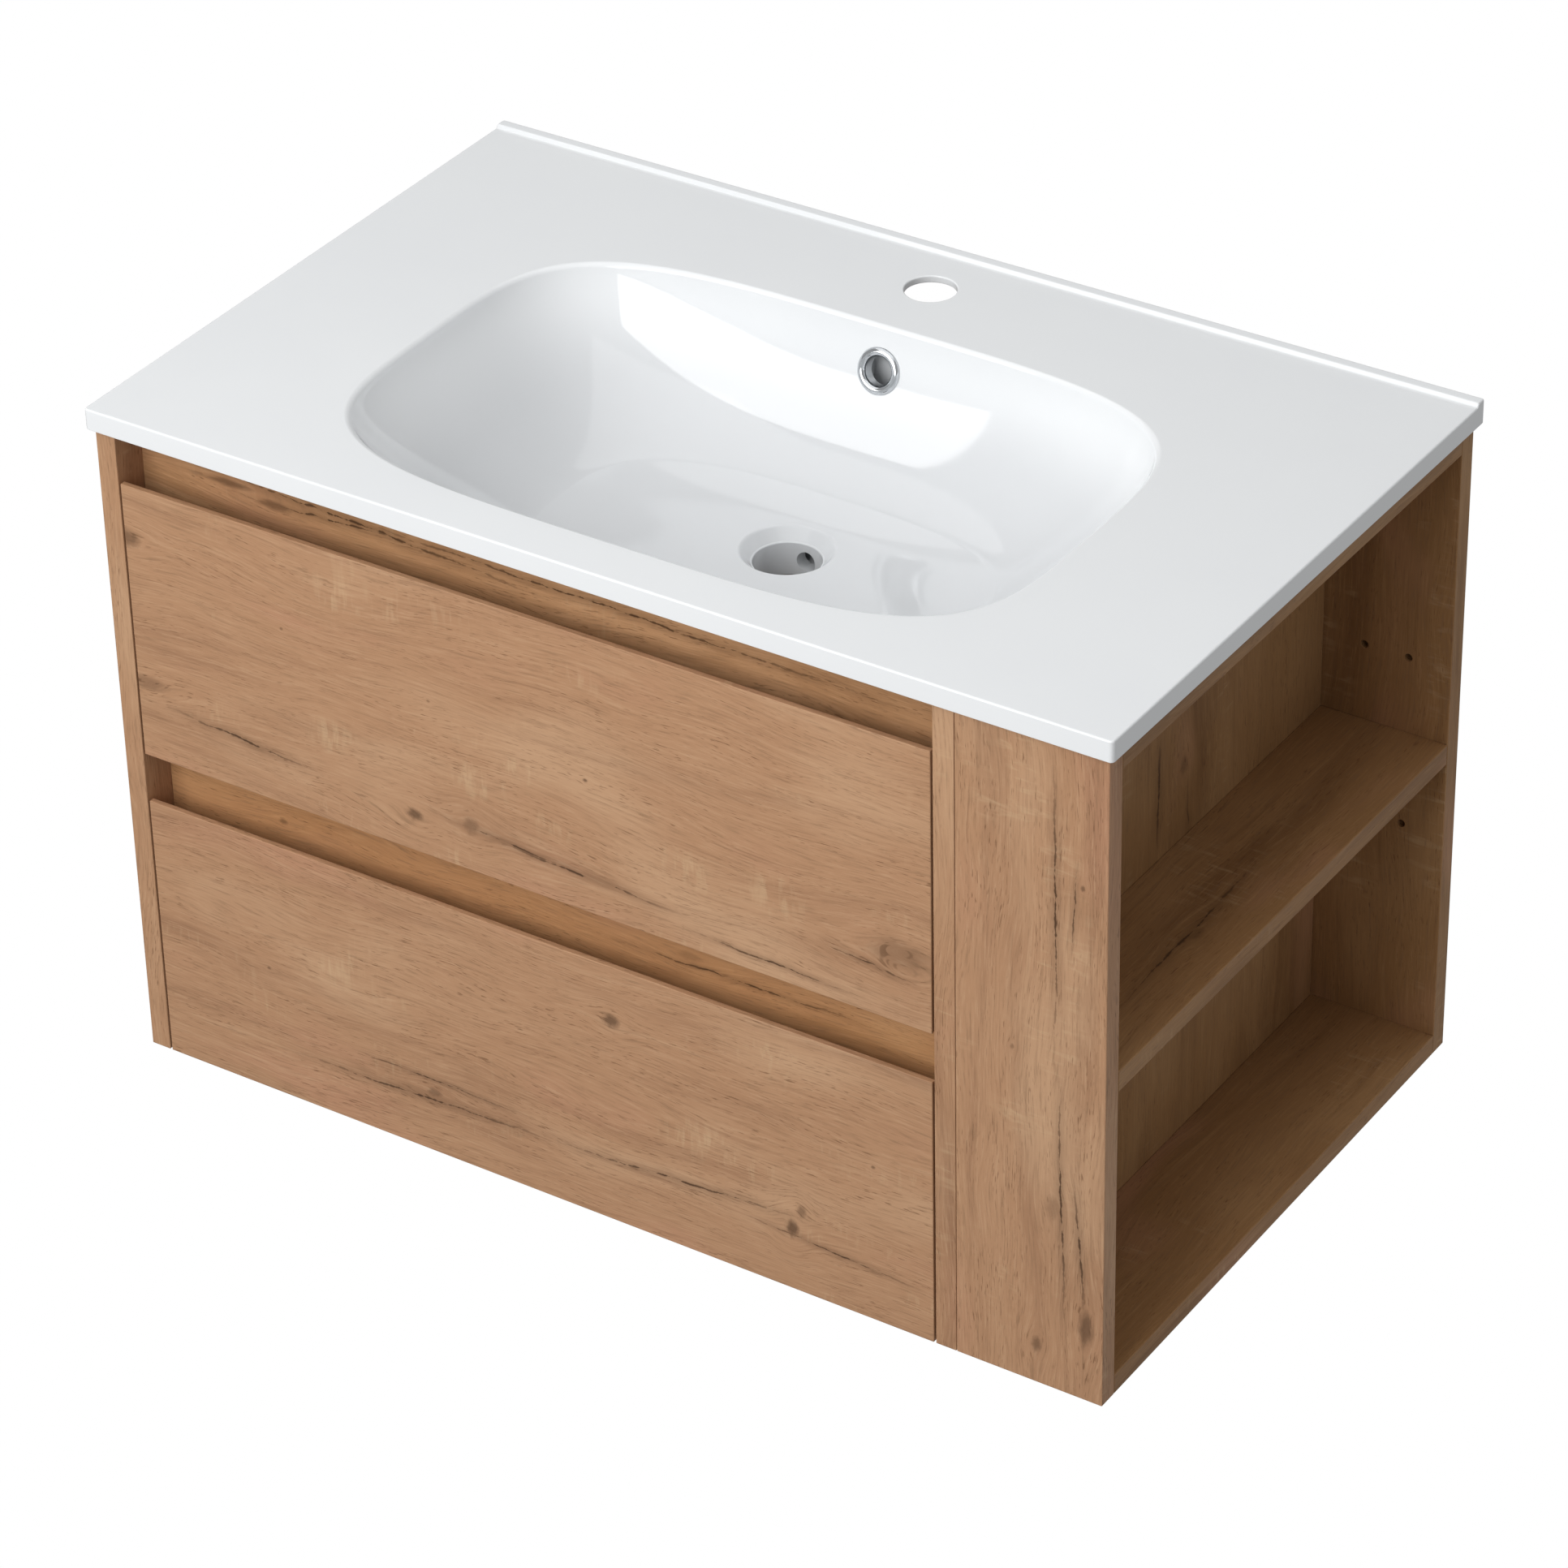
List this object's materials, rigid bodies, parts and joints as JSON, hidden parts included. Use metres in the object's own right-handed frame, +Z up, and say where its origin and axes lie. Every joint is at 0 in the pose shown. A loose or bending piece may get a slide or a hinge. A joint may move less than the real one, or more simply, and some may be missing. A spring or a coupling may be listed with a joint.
{
  "type": "wall-hung washbasin vanity",
  "caption": "Wall-hung bathroom vanity: moulded countertop with an integral basin and overflow, oak-decor cabinet with stacked handleless drawers and an open side shelf.",
  "frame": {"origin": "middle of the upper back rail's rear face, level with the two wall bolts, where the cabinet is held to the wall; x = 0 is the centre line of the basin top", "axes": "+Y into the wall, so the front faces -Y; +Z up; +X towards the open side shelf"},
  "size_m": [0.75, 0.46, 0.4975],
  "materials": {
    "gel_coat": "gloss white gel coat on cast mineral resin",
    "chrome": "polished chrome plate",
    "oak_decor": "textured knotty-oak decor on particle board",
    "drawer_box": "plain oak decor on particle board",
    "zinc_steel": "bright zinc plate"
  },
  "bodies": {
    "cabinet": {"basin_top": "gel_coat", "overflow_ring": "chrome", "left_side_panel": "oak_decor", "divider_panel": "oak_decor", "bottom_panel": "oak_decor", "middle_grip_rail": "oak_decor", "upper_grip_rail": "oak_decor", "upper_back_rail": "oak_decor", "lower_back_rail": "oak_decor", "left_wall_bracket": "zinc_steel", "right_wall_bracket": "zinc_steel", "shelf_front_panel": "oak_decor", "shelf_rear_panel": "oak_decor", "shelf_inner_wall": "oak_decor", "shelf_top": "oak_decor", "shelf_bottom": "oak_decor", "middle_shelf": "oak_decor", "shelf_pin_front_1": "zinc_steel", "shelf_pin_front_2": "zinc_steel", "shelf_pin_rear_1": "zinc_steel", "shelf_pin_rear_2": "zinc_steel", "upper_left_runner_fixed": "zinc_steel", "upper_right_runner_fixed": "zinc_steel", "lower_left_runner_fixed": "zinc_steel", "lower_right_runner_fixed": "zinc_steel"},
    "upper_drawer": {"upper_drawer_front": "oak_decor", "upper_drawer_left_side": "drawer_box", "upper_drawer_right_side": "drawer_box", "upper_drawer_bottom": "drawer_box", "upper_drawer_left_back": "drawer_box", "upper_drawer_right_back": "drawer_box", "upper_cutout_left_cheek": "drawer_box", "upper_cutout_right_cheek": "drawer_box", "upper_cutout_front": "drawer_box", "upper_left_runner_drawer_member": "zinc_steel", "upper_right_runner_drawer_member": "zinc_steel"},
    "lower_drawer": {"lower_drawer_front": "oak_decor", "lower_drawer_left_side": "drawer_box", "lower_drawer_right_side": "drawer_box", "lower_drawer_bottom": "drawer_box", "lower_drawer_back": "drawer_box", "lower_left_runner_drawer_member": "zinc_steel", "lower_right_runner_drawer_member": "zinc_steel"},
    "upper_left_runner_middle": {"upper_left_runner_middle": "zinc_steel"},
    "upper_right_runner_middle": {"upper_right_runner_middle": "zinc_steel"},
    "lower_left_runner_middle": {"lower_left_runner_middle": "zinc_steel"},
    "lower_right_runner_middle": {"lower_right_runner_middle": "zinc_steel"}
  },
  "joints": [
    {"name": "upper_drawer_slide", "type": "slide", "parent": "cabinet", "child": "upper_drawer", "axis": [0, -1, 0], "range_m": [0, 0.35]},
    {"name": "lower_drawer_slide", "type": "slide", "parent": "cabinet", "child": "lower_drawer", "axis": [0, -1, 0], "range_m": [0, 0.35]},
    {"name": "upper_left_runner_middle_slide", "type": "slide", "parent": "cabinet", "child": "upper_left_runner_middle", "axis": [0, -1, 0], "range_m": [0, 0.175]},
    {"name": "upper_right_runner_middle_slide", "type": "slide", "parent": "cabinet", "child": "upper_right_runner_middle", "axis": [0, -1, 0], "range_m": [0, 0.175]},
    {"name": "lower_left_runner_middle_slide", "type": "slide", "parent": "cabinet", "child": "lower_left_runner_middle", "axis": [0, -1, 0], "range_m": [0, 0.175]},
    {"name": "lower_right_runner_middle_slide", "type": "slide", "parent": "cabinet", "child": "lower_right_runner_middle", "axis": [0, -1, 0], "range_m": [0, 0.175]}
  ],
  "couplings": [
    {"joint": "upper_left_runner_middle_slide", "follows": "upper_drawer_slide", "ratio": 0.5},
    {"joint": "upper_right_runner_middle_slide", "follows": "upper_drawer_slide", "ratio": 0.5},
    {"joint": "lower_left_runner_middle_slide", "follows": "lower_drawer_slide", "ratio": 0.5},
    {"joint": "lower_right_runner_middle_slide", "follows": "lower_drawer_slide", "ratio": 0.5}
  ]
}
